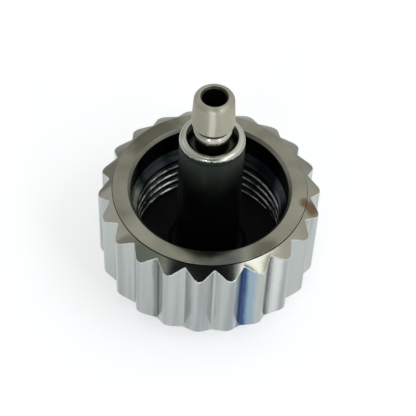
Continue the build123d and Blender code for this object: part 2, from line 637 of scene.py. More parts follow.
def turned_mesh(
    name: str,
    angles: Sequence[float],
    column_at: Callable[[float], Column],
    closed: bool,
    sharp_degrees: float = 24.0,
) -> bpy.types.Object:
    """Makes a mesh from columns of points set round the axis.

    Args:
        name: The piece's name.
        angles: Where the columns stand, in radians.
        column_at: The profile at an angle, in millimetres.
        closed: Whether each column is a closed loop.
        sharp_degrees: Edges turned by more than this shade as sharp.

    Returns:
        The piece, with its mesh in metres.
    """
    columns = [column_at(angle) for angle in angles]
    rows = len(columns[0])
    vertices = [
        (radius * math.cos(angle) * MM, radius * math.sin(angle) * MM, height * MM)
        for angle, column in zip(angles, columns)
        for radius, height, _ in column
    ]
    faces, finishes = [], []
    for across in range(len(angles)):
        beside = (across + 1) % len(angles)
        for row in range(rows if closed else rows - 1):
            above = (row + 1) % rows
            faces.append(
                (
                    across * rows + row,
                    beside * rows + row,
                    beside * rows + above,
                    across * rows + above,
                )
            )
            finishes.append(columns[across][row][2])
    return finished_mesh(name, vertices, faces, finishes, sharp_degrees)


def finished_mesh(
    name: str,
    vertices: Sequence[tuple[float, float, float]],
    faces: Sequence[Sequence[int]],
    finishes: Sequence[int],
    sharp_degrees: float,
) -> bpy.types.Object:
    """Makes an object of those faces, welded, with its normals out and its edges marked.

    Args:
        name: The piece's name.
        vertices: Points in metres.
        faces: Point numbers of each face.
        finishes: The material slot of each face.
        sharp_degrees: Edges turned by more than this shade as sharp.

    Returns:
        The new object, linked to the scene.
    """
    mesh = bpy.data.meshes.new(name)
    mesh.from_pydata(vertices, [], faces)
    mesh.polygons.foreach_set("material_index", [int(finish) for finish in finishes])
    work = bmesh.new()
    work.from_mesh(mesh)
    bmesh.ops.remove_doubles(work, verts=work.verts, dist=WELD_REACH_M)
    bmesh.ops.dissolve_degenerate(work, edges=work.edges, dist=SLIVER_EDGE_M)
    bmesh.ops.recalc_face_normals(work, faces=work.faces)
    work.to_mesh(mesh)
    work.free()
    mesh.shade_smooth()
    mesh.set_sharp_from_angle(angle=math.radians(sharp_degrees))
    return add_object(name, mesh)


def hexagon_radius(angle: float, inner_radius: float, corner_round: float) -> float:
    """Radius of a hexagon with rounded corners, one of them on the X axis.

    Args:
        angle: Round the axis, in radians.
        inner_radius: From the axis to a flat.
        corner_round: Radius of the corners.

    Returns:
        The radius at that angle.
    """
    half = math.pi / 6
    from_corner = abs((angle + half) % (2 * half) - half)
    from_flat = half - from_corner
    tangent = math.atan((inner_radius - corner_round) * math.tan(half) / inner_radius)
    if from_flat <= tangent:
        return inner_radius / math.cos(from_flat)
    centre = (inner_radius - corner_round) / math.cos(half)
    across = centre * math.sin(from_corner)
    return centre * math.cos(from_corner) + math.sqrt(corner_round**2 - across**2)


def even_angles(count: int) -> list[float]:
    """Angles round a whole turn, evenly spaced, in radians."""
    return [math.tau * index / count for index in range(count)]


def seat_piece(
    piece: bpy.types.Object,
    materials: Sequence[bpy.types.Material],
    body: Body,
    node: str,
) -> bpy.types.Object:
    """Dresses a piece, sets it on its body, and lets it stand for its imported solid.

    Args:
        piece: The finished mesh object.
        materials: Its materials, in the order of its faces' slots.
        body: The body that it rides on.
        node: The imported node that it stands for.

    Returns:
        The same piece.
    """
    for material in materials:
        piece.data.materials.append(material)
    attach(piece, body.value)
    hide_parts(node)
    LOG.info("%s stands for %s on %s", piece.name, node, body.value)
    return piece


@dataclass
class FlutedShell:
    """The outer cup: a fluted side, a bevel at each end, and a domed end face."""

    crown_radius: float = 3.50
    root_radius: float = 3.19
    flute_count: int = 22
    flute_phase_degrees: float = 5.15
    ridge_round: float = 0.22
    valley_round: float = 0.06
    top: float = 3.56
    rim_radius: float = 3.055
    bevel_drop: float = 0.29
    seat_height: float = 3.36
    sleeve_radius: float = 2.875
    floor: float = 0.50
    root_recess_radius: float = 1.326
    root_recess_floor: float = 0.25
    end_bevel: float = 0.34
    dome_rise: float = 0.28
    land_radius: float = 1.90
    edge_round: float = 0.045
    foot_round: float = 0.0675
    end_round: float = 0.06
    seam_break: float = 0.012
    round_steps: int = 5
    ridge_steps: int = 7
    flank_steps: int = 6
    valley_steps: int = 3
    dome_steps: int = 12

    def _flank(self) -> tuple[Vector, Vector]:
        """The straight flank between a ridge on the X axis and the next valley.

        Returns:
            Where it leaves the ridge's arc and where it meets the valley's arc.
        """
        half = math.pi / self.flute_count
        ridge_centre = Vector((self.crown_radius - self.ridge_round, 0))
        valley_centre = Vector((math.cos(half), math.sin(half))) * (
            self.root_radius + self.valley_round
        )
        run = valley_centre - ridge_centre
        lean = math.asin((self.ridge_round + self.valley_round) / run.length)
        along = run.normalized()
        outward = along * math.sin(lean) + Vector((along.y, -along.x)) * math.cos(lean)
        return (
            ridge_centre + outward * self.ridge_round,
            valley_centre - outward * self.valley_round,
        )

    def _side_radius(self, angle: float) -> float:
        """Radius of the fluted side at an angle.

        Args:
            angle: Round the axis, in radians.

        Returns:
            The radius in millimetres.
        """
        pitch = math.tau / self.flute_count
        phase = math.radians(self.flute_phase_degrees)
        turn = abs((angle - phase + pitch / 2) % pitch - pitch / 2)
        start, end = self._flank()
        if turn <= math.atan2(start.y, start.x):
            centre = self.crown_radius - self.ridge_round
            reach = math.sqrt(self.ridge_round**2 - (centre * math.sin(turn)) ** 2)
            return centre * math.cos(turn) + reach
        if turn >= math.atan2(end.y, end.x):
            turn = pitch / 2 - turn
            centre = self.root_radius + self.valley_round
            reach = math.sqrt(self.valley_round**2 - (centre * math.sin(turn)) ** 2)
            return centre * math.cos(turn) - reach
        run = end - start
        ray = Vector((math.cos(turn), math.sin(turn)))
        return (start.x * run.y - start.y * run.x) / (ray.x * run.y - ray.y * run.x)

    def _angles(self) -> list[float]:
        """Column angles that fall on every ridge, flank end and valley.

        Returns:
            The angles in radians, in order round the axis.
        """
        pitch = math.tau / self.flute_count
        start, end = (math.atan2(point.y, point.x) for point in self._flank())
        ridge, flank, valley = self.ridge_steps, self.flank_steps, self.valley_steps
        half = [start * step / ridge for step in range(ridge + 1)]
        half += [start + (end - start) * step / flank for step in range(1, flank + 1)]
        half += [end + (pitch / 2 - end) * step / valley for step in range(1, valley)]
        offsets = half + [pitch / 2] + [pitch - offset for offset in reversed(half[1:])]
        phase = math.radians(self.flute_phase_degrees)
        return [
            phase + flute * pitch + offset
            for flute in range(self.flute_count)
            for offset in offsets
        ]

    def _column(self, angle: float) -> Column:
        """The cup's wall at an angle, from the rim's inner edge round to the bore.

        Args:
            angle: Round the axis, in radians.

        Returns:
            The points of a profile that closes on the axis at both ends.
        """
        side = self._side_radius(angle)
        slope = self.bevel_drop / (self.crown_radius - self.rim_radius)
        shoulder = self.top - slope * (side - self.rim_radius)
        foot = self.dome_rise + self.end_bevel - (self.crown_radius - side)
        dome_edge = self.crown_radius - self.end_bevel
        gap = self.seam_break
        wall, bevel, edge, end = ShellFace.SIDE, ShellFace.BEVEL, ShellFace.EDGE, ShellFace.END
        corners = [
            Corner(0.0, self.root_recess_floor),
            Corner(self.root_recess_radius, self.root_recess_floor),
            Corner(self.root_recess_radius, self.floor),
            Corner(self.sleeve_radius, self.floor),
            Corner(self.sleeve_radius, self.seat_height),
            Corner(self.rim_radius, self.seat_height),
            Corner(self.rim_radius, self.top - gap, 0.0, bevel),
            Corner(self.rim_radius + gap, self.top - gap * slope, 0.0, bevel),
            # The rounded edge takes the pale worn-edge finish, painted as a thin highlight line.
            Corner(side, shoulder, self.edge_round, wall, edge),
            Corner(side, foot, self.foot_round, wall),
            Corner(dome_edge, self.dome_rise, self.end_round, end),
        ]
        column = rounded_column(corners, False, self.round_steps)
        run = dome_edge - self.land_radius
        for step in range(1, self.dome_steps + 1):
            along = 1 - step / self.dome_steps
            rise = self.dome_rise * along**2
            column.append((self.land_radius + run * along, rise, end))
        column.append((self.land_radius / 2, 0.0, end))
        column.append((0.0, 0.0, end))
        return column

    def build(
        self, side: SteelFinish, bevel: SteelFinish, end: SteelFinish, edge: SteelFinish
    ) -> bpy.types.Object:
        """Builds the shell.

        Args:
            side: Finish of the flutes.
            bevel: Finish of the bevel under the rim.
            end: Finish of the outer end.
            edge: Finish of the worn edge between bevel and flutes, with a painted highlight.

        Returns:
            The shell on its body.
        """
        piece = turned_mesh("fluted_shell_dressed", self._angles(), self._column, False)
        materials = [side.build(), bevel.build(), end.build(), edge.build()]
        return seat_piece(piece, materials, Body.HEAD, "fluted_shell")


@dataclass
class ThreadedSleeve:
    """The inner sleeve: a flat rim, a chamfered mouth, a plain bore and a fine inside thread.

    On the X axis, the first groove's root is thread_phase of a pitch above the undercut. The
    crests take a pale finish to bright_crest_depth from their tips, up to the height
    bright_crest_top: worn bare steel, painted pale as thin highlights.
    """

    floor: float = 0.50
    outer_radius: float = 2.87
    seat_height: float = 3.36
    rim_radius: float = 3.05
    rim_height: float = 3.60
    mouth_chamfer: float = 0.10
    plain_radius: float = 2.48
    undercut_radius: float = 2.55
    undercut_top: float = 0.95
    thread_top: float = 2.50
    major_radius: float = 2.46
    minor_radius: float = 2.2706
    pitch: float = 0.35
    thread_phase: float = 0.2
    crest_round: float = 0.04
    bright_crest_depth: float = 0.065
    bright_crest_top: float = 2.15
    flank_degrees: float = 30.0
    root_flat_share: float = 0.0625
    rim_round: float = 0.012
    chamfer_round: float = 0.008
    bore_round: float = 0.01
    round_steps: int = 4
    steps_per_turn: int = 36
    columns: int = 288

    def _groove_radius(self, share: float) -> float:
        """Radius of the thread at a share of its pitch, with slightly worn crests.

        Args:
            share: Place along one pitch, from 0 to 1, with the groove's root at 0.

        Returns:
            The radius in millimetres.
        """
        away = min(share % 1.0, 1.0 - share % 1.0) * self.pitch
        along_flank = away - self.pitch * self.root_flat_share
        flank = along_flank / math.tan(math.radians(self.flank_degrees))
        radius = self.major_radius - max(0.0, flank)
        depth = self.minor_radius + self.crest_round - radius
        if depth <= 0:
            return radius
        return max(self.minor_radius, radius + depth**2 / (4 * self.crest_round))

    def _column(self, angle: float) -> Column:
        """The sleeve's wall at an angle, in level rows from the lead-in down to the undercut.

        Args:
            angle: Round the axis, in radians.

        Returns:
            The points of a closed profile.
        """
        mouth = self.plain_radius + self.mouth_chamfer
        mouth_foot = self.rim_height - self.mouth_chamfer
        rim, chamfer, bore = SleeveFace.RIM, SleeveFace.CHAMFER, SleeveFace.BORE
        corners = [
            Corner(self.undercut_radius, self.floor, 0.0, bore),
            Corner(self.outer_radius, self.floor, 0.0, bore),
            Corner(self.outer_radius, self.seat_height, 0.0, bore),
            Corner(self.rim_radius, self.seat_height, 0.0, bore),
            Corner(self.rim_radius, self.rim_height, self.rim_round, rim),
            Corner(mouth, self.rim_height, self.chamfer_round, chamfer),
            Corner(self.plain_radius, mouth_foot, self.bore_round, bore),
        ]
        column = rounded_column(corners, True, self.round_steps)
        lead_in = self.plain_radius - self.minor_radius
        top = self.thread_top + lead_in
        step = self.pitch / self.steps_per_turn
        rows = round((top - self.undercut_top) / step)
        for row in range(rows + 1):
            height = top - (top - self.undercut_top) * row / rows
            share = (height - self.undercut_top) / self.pitch - angle / math.tau
            radius = self._groove_radius(share - self.thread_phase)
            entry = self.minor_radius + max(0.0, height - self.thread_top)
            # Crest points take the pale finish: worn bare, and painted as thin highlights.
            worn = radius < self.minor_radius + self.bright_crest_depth
            crest = worn and height < self.bright_crest_top
            column.append((max(radius, entry), height, SleeveFace.CREST if crest else bore))
        column.append((self.undercut_radius, self.undercut_top, bore))
        return column

    def build(
        self, rim: SteelFinish, chamfer: SteelFinish, bore: SteelFinish, crest: SteelFinish
    ) -> bpy.types.Object:
        """Builds the sleeve.

        Args:
            rim: Finish of the flat rim.
            chamfer: Finish of the mouth's chamfer.
            bore: Finish of the bore and the thread.
            crest: Finish of the thread's crests.

        Returns:
            The sleeve on its body.
        """
        angles = even_angles(self.columns)
        piece = turned_mesh("threaded_sleeve_dressed", angles, self._column, True)
        materials = [rim.build(), chamfer.build(), bore.build(), crest.build()]
        return seat_piece(piece, materials, Body.HEAD, "threaded_sleeve")


@dataclass
class FloorGasket:
    """The flat rubber ring that the case tube's end presses on."""

    inner_radius: float = 1.231
    outer_radius: float = 2.52
    floor: float = 0.50
    thickness: float = 0.35
    edge_round: float = 0.09
    round_steps: int = 6
    columns: int = 128

    def _column(self, _angle: float) -> Column:
        """The gasket's section, which is the same all round.

        Args:
            _angle: Round the axis, in radians, and of no effect on it.

        Returns:
            The points of a closed profile.
        """
        top = self.floor + self.thickness
        corners = [
            Corner(self.inner_radius, self.floor, self.edge_round),
            Corner(self.outer_radius, self.floor, self.edge_round),
            Corner(self.outer_radius, top, self.edge_round),
            Corner(self.inner_radius, top, self.edge_round),
        ]
        return rounded_column(corners, True, self.round_steps)

    def build(self, rubber: RubberFinish) -> bpy.types.Object:
        """Builds the gasket.

        Args:
            rubber: Its finish.

        Returns:
            The gasket on its body.
        """
        angles = even_angles(self.columns)
        piece = turned_mesh("floor_gasket_dressed", angles, self._column, True)
        return seat_piece(piece, [rubber.build()], Body.HEAD, "floor_gasket")


@dataclass
class Post:
    """The hollow post and the bush with a hexagonal bore that closes its mouth.

    The collar's round keeps its pale finish for shade_line_degrees from its top: the first of them
    at the front and back, and the second more at the sides. Below that it takes the tube's dark
    finish, as painted shade.
    """

    root: float = 0.25
    floor: float = 0.50
    bore_floor: float = 0.65
    flange_radius: float = 1.321
    boss_radius: float = 1.201
    boss_top: float = 0.95
    radius: float = 1.001
    bore_radius: float = 0.881
    tube_end: float = 5.71
    mouth: float = 5.97
    bush_end: float = 3.81
    hex_inner: float = 0.69
    hex_corner_round: float = 0.23
    collar_round: float = 0.18
    countersink_radius: float = 0.801
    bush_gap: float = 0.005
    flange_round: float = 0.01
    boss_round: float = 0.02
    end_round: float = 0.012
    mouth_round: float = 0.008
    bore_edge_round: float = 0.01
    bore_floor_round: float = 0.05
    shade_line_degrees: tuple[float, float] = (55.0, 30.0)
    tube_steps: int = 4
    tube_columns: int = 128
    bush_steps: int = 16
    bush_columns: int = 240

    def _tube_column(self, _angle: float) -> Column:
        """The tube's section from its foot to its end and down the bore.

        Args:
            _angle: Round the axis, in radians, and of no effect on it.

        Returns:
            The points of a profile that closes on the axis at both ends.
        """
        wall, foot = TubeFace.WALL, TubeFace.FOOT
        corners = [
            Corner(0.0, self.root, 0.0, foot),
            Corner(self.flange_radius, self.root, self.flange_round, foot),
            Corner(self.flange_radius, self.floor, self.flange_round, foot),
            Corner(self.boss_radius, self.floor, 0.0, foot),
            Corner(self.boss_radius, self.boss_top, self.boss_round, foot),
            Corner(self.radius, self.boss_top, 0.0, wall),
            Corner(self.radius, self.tube_end, self.end_round, wall),
            Corner(self.bore_radius, self.tube_end, self.bore_edge_round, wall),
            Corner(self.bore_radius, self.bore_floor, self.bore_floor_round, wall),
            Corner(0.0, self.bore_floor, 0.0, wall),
        ]
        return rounded_column(corners, False, self.tube_steps)

    def _bush_column(self, angle: float) -> Column:
        """The bush's section at an angle, with the hexagon's flat or corner inside.

        Args:
            angle: Round the axis, in radians.

        Returns:
            The points of a closed profile.
        """
        bore = hexagon_radius(angle, self.hex_inner, self.hex_corner_round)
        seat = self.bore_radius - self.bush_gap
        drive_top = self.mouth - (self.countersink_radius - bore)
        collar, dark_tube_finish, mouth = BushFace.COLLAR, BushFace.BORE, BushFace.MOUTH
        corners = [
            Corner(bore, self.bush_end, 0.0, dark_tube_finish),
            Corner(seat, self.bush_end, 0.0, dark_tube_finish),
            Corner(seat, self.tube_end, 0.0, dark_tube_finish),
            Corner(self.radius, self.tube_end, self.end_round, dark_tube_finish),
            Corner(self.radius, self.mouth, self.collar_round, collar),
            Corner(self.countersink_radius, self.mouth, self.mouth_round, mouth),
            Corner(bore, drive_top, self.mouth_round, dark_tube_finish),
        ]
        column = rounded_column(corners, True, self.bush_steps)
        # Below this line the collar's round takes the dark tube finish, as painted shade.
        front, more_at_sides = self.shade_line_degrees
        shade_line = math.radians(front + more_at_sides * abs(math.cos(angle)))
        turned_under = self.mouth - self.collar_round * (1 - math.cos(shade_line))
        return [
            (radius, height, dark_tube_finish if finish == collar and height < turned_under else finish)
            for radius, height, finish in column
        ]

    def build(
        self, tube: SteelFinish, foot: SteelFinish, collar: SteelFinish, mouth: SteelFinish
    ) -> list[bpy.types.Object]:
        """Builds the tube and its bush.

        Args:
            tube: Finish of the tube, the bush's bore and the side of its collar.
            foot: Finish of the tube's foot.
            collar: Finish of the collar's rounded top.
            mouth: Finish of the countersink in the bush's mouth.

        Returns:
            Both pieces on their body.
        """
        tube_angles, bush_angles = even_angles(self.tube_columns), even_angles(self.bush_columns)
        wall = turned_mesh("post_tube_dressed", tube_angles, self._tube_column, False)
        bush = turned_mesh("drive_bush_dressed", bush_angles, self._bush_column, True)
        turned_steel = tube.build()
        bush_steels = [collar.build(), turned_steel, mouth.build()]
        return [
            seat_piece(
                wall, [turned_steel, foot.build()], Body.HEAD, "post_tube"
            ),
            seat_piece(bush, bush_steels, Body.HEAD, "drive_bush"),
        ]


@dataclass
class Plunger:
    """The plunger: a bullet nose, a bead, a neck, a hexagonal drive, a stop and a pilot."""

    tip: float = 7.708
    nose_base: float = 6.65
    nose_base_radius: float = 0.66
    tip_radius: float = 0.60
    tip_round: float = 0.22
    hole_radius: float = 0.36
    countersink: float = 0.06
    hole_depth: float = 2.30
    bead_radius: float = 0.58
    bead_bottom: float = 6.12
    bead_top: float = 6.40
    bead_round: float = 0.055
    bead_shoulder: float = 0.07
    groove_radius: float = 0.52
    neck_radius: float = 0.52
    drive_top: float = 5.62
    drive_inner: float = 0.67
    drive_corner_round: float = 0.21
    stop_top: float = 3.81
    stop_bottom: float = 3.56
    stop_radius: float = 0.851
    pilot_end: float = 3.11
    pilot_radius: float = 0.581
    pilot_round: float = 0.03
    soft_round: float = 0.02
    fine_round: float = 0.01
    round_steps: int = 8
    columns: int = 144

    def _column(self, angle: float) -> Column:
        """The plunger's section from the foot of the stem hole out to the pilot's end.

        Args:
            angle: Round the axis, in radians.

        Returns:
            The points of a profile that closes on the axis at both ends.
        """
        drive = hexagon_radius(angle, self.drive_inner, self.drive_corner_round)
        hole_foot = self.tip - self.hole_depth
        bead_edge = self.bead_top - self.bead_shoulder
        soft, fine = self.soft_round, self.fine_round
        nose, inside, bead = PlungerFace.NOSE, PlungerFace.INSIDE, PlungerFace.BEAD
        corners = [
            Corner(0.0, hole_foot - self.hole_radius, 0.0, inside),
            Corner(self.hole_radius, hole_foot, 0.0, inside),
            Corner(self.hole_radius, self.tip - self.countersink, soft, inside),
            Corner(self.hole_radius + self.countersink, self.tip, soft, nose),
            Corner(self.tip_radius, self.tip, self.tip_round, nose),
            Corner(self.nose_base_radius, self.nose_base, soft, nose),
            Corner(self.groove_radius, self.nose_base, fine, inside),
            Corner(self.groove_radius, self.bead_top, fine, bead),
            Corner(self.bead_radius, bead_edge, self.bead_round, bead),
            Corner(self.bead_radius, self.bead_bottom, self.bead_round, bead),
            Corner(self.neck_radius, self.bead_bottom, fine, inside),
            Corner(self.neck_radius, self.drive_top, fine, inside),
            Corner(drive, self.drive_top, soft, inside),
            Corner(drive, self.stop_top, 0.0, inside),
            Corner(self.stop_radius, self.stop_top, fine, inside),
            Corner(self.stop_radius, self.stop_bottom, fine, inside),
            Corner(self.pilot_radius, self.stop_bottom, 0.0, inside),
            Corner(self.pilot_radius, self.pilot_end, self.pilot_round, inside),
            Corner(0.0, self.pilot_end, 0.0, inside),
        ]
        return rounded_column(corners, False, self.round_steps)

    def build(
        self, nose: SteelFinish, inside: SteelFinish, bead: SteelFinish
    ) -> bpy.types.Object:
        """Builds the plunger.

        Args:
            nose: Finish of the nose.
            inside: Finish of the hole, the neck and the drive.
            bead: Finish of the bead.

        Returns:
            The plunger on its body.
        """
        piece = turned_mesh("plunger_dressed", even_angles(self.columns), self._column, False)
        materials = [nose.build(), inside.build(), bead.build()]
        return seat_piece(piece, materials, Body.PLUNGER, "plunger")


@dataclass
class PlungerSpring:
    """The coil spring between the post's floor and the plunger's stop flange."""

    wire: float = 0.16
    turns: int = 8
    outer_radius: float = 0.821
    foot: float = 0.65
    head: float = 3.56
    travel: float = 1.30
    steps_per_turn: int = 32
    sides: int = 12
    sharp_degrees: float = 40.0

    def build(self, steel: SteelFinish) -> bpy.types.Object:
        """Builds the spring as a swept wire with flat ends.

        Args:
            steel: Its finish.

        Returns:
            The spring on its body, with its own copy of its mesh.
        """
        wire_radius = self.wire / 2
        coil = self.outer_radius - wire_radius
        rise = self.head - self.foot - self.wire
        count = self.turns * self.steps_per_turn
        vertices, faces = [], []
        for step in range(count + 1):
            angle = math.tau * step / self.steps_per_turn
            out = Vector((math.cos(angle), math.sin(angle), 0))
            along = Vector(
                (-coil * math.sin(angle), coil * math.cos(angle), rise / self.turns / math.tau)
            ).normalized()
            up = out.cross(along)
            centre = out * coil + Vector((0, 0, self.foot + wire_radius + rise * step / count))
            for side in range(self.sides):
                turn = math.tau * side / self.sides
                point = centre + (out * math.cos(turn) + up * math.sin(turn)) * wire_radius
                vertices.append(tuple(point * MM))
        for step in range(count):
            for side in range(self.sides):
                beside = (side + 1) % self.sides
                faces.append(
                    (
                        step * self.sides + side,
                        step * self.sides + beside,
                        (step + 1) * self.sides + beside,
                        (step + 1) * self.sides + side,
                    )
                )
        faces.append(tuple(range(self.sides)))
        faces.append(tuple(count * self.sides + side for side in range(self.sides)))
        finishes = [0] * len(faces)
        piece = finished_mesh(
            "plunger_spring_dressed", vertices, faces, finishes, self.sharp_degrees
        )
        seat_piece(piece, [steel.build()], Body.HEAD, "plunger_spring")
        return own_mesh(piece)


@dataclass(frozen=True)
class Softbox:
    """One soft studio lamp: where it hangs, how wide it is and how bright it looks."""

    name: str
    direction: tuple[float, float, float]
    width_mm: float
    depth_mm: float
    radiance: float
    colour: str = WHITE
    distance_mm: float = 120.0

    def build(self, target: Vector) -> None:
        """Hangs the lamp so that it faces the target.

        Args:
            target: A point in metres.
        """
        lamp = bpy.data.lights.new(self.name, "AREA")
        lamp.shape = "RECTANGLE"
        lamp.size = self.width_mm * MM
        lamp.size_y = self.depth_mm * MM
        lamp.color = linear(self.colour)[:3]
        lamp.energy = self.radiance * math.pi * lamp.size * lamp.size_y
        holder = add_object(self.name, lamp)
        away = Vector(self.direction).normalized()
        holder.location = target + away * self.distance_mm * MM
        holder.rotation_mode = "QUATERNION"
        holder.rotation_quaternion = away.to_track_quat("Z", "Y")


# The three broad lamps give the steel its wide soft bands of light. The three small ones look
# brighter, give about two fifths of the lamps' light, and show as the small bright spots on
# the collar, the bead and the bevel.
LAMPS = (
    Softbox("key_softbox", (0.55, -0.23, 0.80), 64, 36, 1.85, "#f0f5ff"),
    Softbox("overhead_softbox", (-0.10, -0.12, 0.98), 16, 16, 5.0),
    Softbox("front_left_softbox", (-0.27, -0.76, 0.59), 15, 15, 12.0),
    Softbox("front_right_softbox", (0.56, -0.60, 0.57), 16, 16, 9.5),
    Softbox("low_front_softbox", (0.05, -0.95, 0.30), 50, 22, 2.5),
    Softbox("left_softbox", (-0.82, 0.30, 0.50), 80, 80, 0.36, "#eef3ff", 130.0),
)


@dataclass
class Studio:
    """The pale floor, the soft light round it, and the camera at the photograph's angle.

    The room's light rises from left_level to right_level across side_span either way, and
    falls to horizon_share of that at the horizon. Its dark patch is darkest within the first
    of dark_degrees and ends at the second. Steel mirrors the floor's glow in full within the
    first of pool_mm from the axis, and not at all beyond the second.
    """

    elevation_degrees: float = 51.6
    distance_mm: float = 45.0
    focal_mm: float = 122.1
    sensor_mm: float = 36.0
    roll_degrees: float = 3.0
    target_mm: tuple[float, float, float] = (-0.023, 0.0, 2.49)
    sight_m: tuple[float, float] = (0.001, 2.0)
    lamp_target_mm: tuple[float, float, float] = (0.0, 0.0, 4.0)
    room_colour: str = "#f2f2ee"
    side_span: float = 0.7
    horizon_height: float = 0.5
    left_level: float = 0.46
    right_level: float = 0.90
    horizon_share: float = 0.75
    dark_level: float = 0.03
    dark_heading: tuple[float, float, float] = (0.0, -0.46, 0.885)
    dark_degrees: tuple[float, float] = (16.0, 30.0)
    dark_colour: str = "#7fb4c4"
    floor_reach_m: float = 0.6
    floor_albedo: str = "#e9ebee"
    floor_glow: float = 0.48
    pool_mm: tuple[float, float] = (7.0, 14.0)

    def build(self) -> None:
        """Makes the camera, the floor, the surround and the lamps."""
        self._camera()
        self._floor()
        self._surround()
        for lamp in LAMPS:
            lamp.build(Vector(self.lamp_target_mm) * MM)

    def _camera(self) -> None:
        """Stands the camera where the photograph was taken from, with its slight roll."""
        lens = bpy.data.cameras.new("photo_view")
        lens.lens = self.focal_mm
        lens.sensor_width = self.sensor_mm
        lens.clip_start, lens.clip_end = self.sight_m
        camera = add_object("photo_view", lens)
        tilt, roll = math.radians(self.elevation_degrees), math.radians(self.roll_degrees)
        back = Vector((0, -math.cos(tilt), math.sin(tilt)))
        level = Vector((1, 0, 0))
        rise = back.cross(level)
        right = level * math.cos(roll) + rise * math.sin(roll)
        up = rise * math.cos(roll) - level * math.sin(roll)
        turn = Matrix((right, up, back)).transposed()
        camera.matrix_world = Matrix.Translation(
            (Vector(self.target_mm) + back * self.distance_mm) * MM
        ) @ turn.to_4x4()
        bpy.context.scene.camera = camera

    def _floor(self) -> None:
        """Lays the pale floor, which shows white to the camera and in the steel."""
        mesh = bpy.data.meshes.new("studio_floor")
        reach = self.floor_reach_m
        mesh.from_pydata(
            [(-reach, -reach, 0), (reach, -reach, 0), (reach, reach, 0), (-reach, reach, 0)],
            [],
            [(0, 1, 2, 3)],
        )
        floor = add_object("studio_floor", mesh)
        material = bpy.data.materials.new("matte_white_sweep_paper")
        tree = empty_tree(material)
        glow = add_node(
            tree,
            "ShaderNodeMath",
            {"operation": "MULTIPLY"},
            {0: self._glow_seen(tree), 1: self.floor_glow},
        )
        paper = add_node(
            tree, "ShaderNodeBsdfDiffuse", inputs={"Color": linear(self.floor_albedo)}
        )
        light = add_node(
            tree,
            "ShaderNodeEmission",
            inputs={"Color": linear(WHITE), "Strength": glow.outputs[0]},
        )
        both = add_node(
            tree, "ShaderNodeAddShader", inputs={0: paper.outputs[0], 1: light.outputs[0]}
        )
        add_node(tree, "ShaderNodeOutputMaterial", inputs={"Surface": both.outputs[0]})
        mesh.materials.append(material)

    def _glow_seen(self, tree: bpy.types.NodeTree) -> bpy.types.NodeSocket:
        """Gives the share of the floor's glow that a ray sees.

        The camera sees all of it, also through glass. Steel mirrors all of it from beside the
        crown and less from further off. Other rays see none, so it adds no diffuse light.

        Args:
            tree: The node tree to add to.

        Returns:
            The socket that gives it.
        """
        path = add_node(tree, "ShaderNodeLightPath")
        place = add_node(tree, "ShaderNodeTexCoord")
        away = add_node(
            tree, "ShaderNodeVectorMath", {"operation": "LENGTH"}, {0: place.outputs["Object"]}
        )
        pool = add_node(
            tree,
            "ShaderNodeMapRange",
            {"interpolation_type": "SMOOTHSTEP"},
            {
                "Value": away.outputs["Value"],
                "From Min": self.pool_mm[0] * MM,
                "From Max": self.pool_mm[1] * MM,
                "To Min": 1.0,
                "To Max": 0.0,
            },
        )
        mirrored = add_node(
            tree,
            "ShaderNodeMath",
            {"operation": "MULTIPLY"},
            {0: path.outputs["Is Glossy Ray"], 1: pool.outputs["Result"]},
        )
        either = add_node(
            tree,
            "ShaderNodeMath",
            {"operation": "MAXIMUM"},
            {0: path.outputs["Is Camera Ray"], 1: mirrored.outputs[0]},
        )
        seen = add_node(
            tree,
            "ShaderNodeMath",
            {"operation": "MAXIMUM"},
            {0: either.outputs[0], 1: path.outputs["Is Transmission Ray"]},
        )
        return seen.outputs[0]

    def _surround(self) -> None:
        """Gives the room its soft light, with a dark patch round where the camera stands."""
        world = bpy.data.worlds.new("studio_room")
        bpy.context.scene.world = world
        tree = empty_tree(world)
        heading = add_node(tree, "ShaderNodeTexCoord").outputs["Generated"]
        parts = add_node(tree, "ShaderNodeSeparateXYZ", inputs={0: heading})
        sides = add_node(
            tree,
            "ShaderNodeMapRange",
            inputs={
                "Value": parts.outputs["X"],
                "From Min": -self.side_span,
                "From Max": self.side_span,
                "To Min": self.left_level,
                "To Max": self.right_level,
            },
        )
        rise = add_node(
            tree,
            "ShaderNodeMapRange",
            inputs={
                "Value": parts.outputs["Z"],
                "From Min": 0.0,
                "From Max": self.horizon_height,
                "To Min": self.horizon_share,
            },
        )
        near = add_node(
            tree,
            "ShaderNodeVectorMath",
            {"operation": "DOT_PRODUCT"},
            {0: heading, 1: Vector(self.dark_heading).normalized()},
        )
        open_share = add_node(
            tree,
            "ShaderNodeMapRange",
            {"interpolation_type": "SMOOTHSTEP"},
            {
                "Value": near.outputs["Value"],
                "From Min": math.cos(math.radians(self.dark_degrees[1])),
                "From Max": math.cos(math.radians(self.dark_degrees[0])),
                "To Min": 1.0,
                "To Max": self.dark_level,
            },
        )
        level = add_node(
            tree,
            "ShaderNodeMath",
            {"operation": "MULTIPLY"},
            {0: sides.outputs["Result"], 1: rise.outputs["Result"]},
        )
        shaded = add_node(
            tree,
            "ShaderNodeMath",
            {"operation": "MULTIPLY"},
            {0: level.outputs[0], 1: open_share.outputs["Result"]},
        )
        hue = add_node(
            tree,
            "ShaderNodeMix",
            {"data_type": "RGBA"},
            {
                "Factor": open_share.outputs["Result"],
                "A": linear(self.dark_colour),
                "B": linear(self.room_colour),
            },
        )
        room = add_node(
            tree,
            "ShaderNodeBackground",
            inputs={"Color": hue.outputs[2], "Strength": shaded.outputs[0]},
        )
        backdrop = add_node(
            tree,
            "ShaderNodeBackground",
            inputs={"Color": linear(WHITE), "Strength": 1.0},
        )
        path = add_node(tree, "ShaderNodeLightPath")
        either = add_node(
            tree,
            "ShaderNodeMixShader",
            inputs={
                0: path.outputs["Is Camera Ray"],
                1: room.outputs[0],
                2: backdrop.outputs[0],
            },
        )
        add_node(tree, "ShaderNodeOutputWorld", inputs={"Surface": either.outputs[0]})
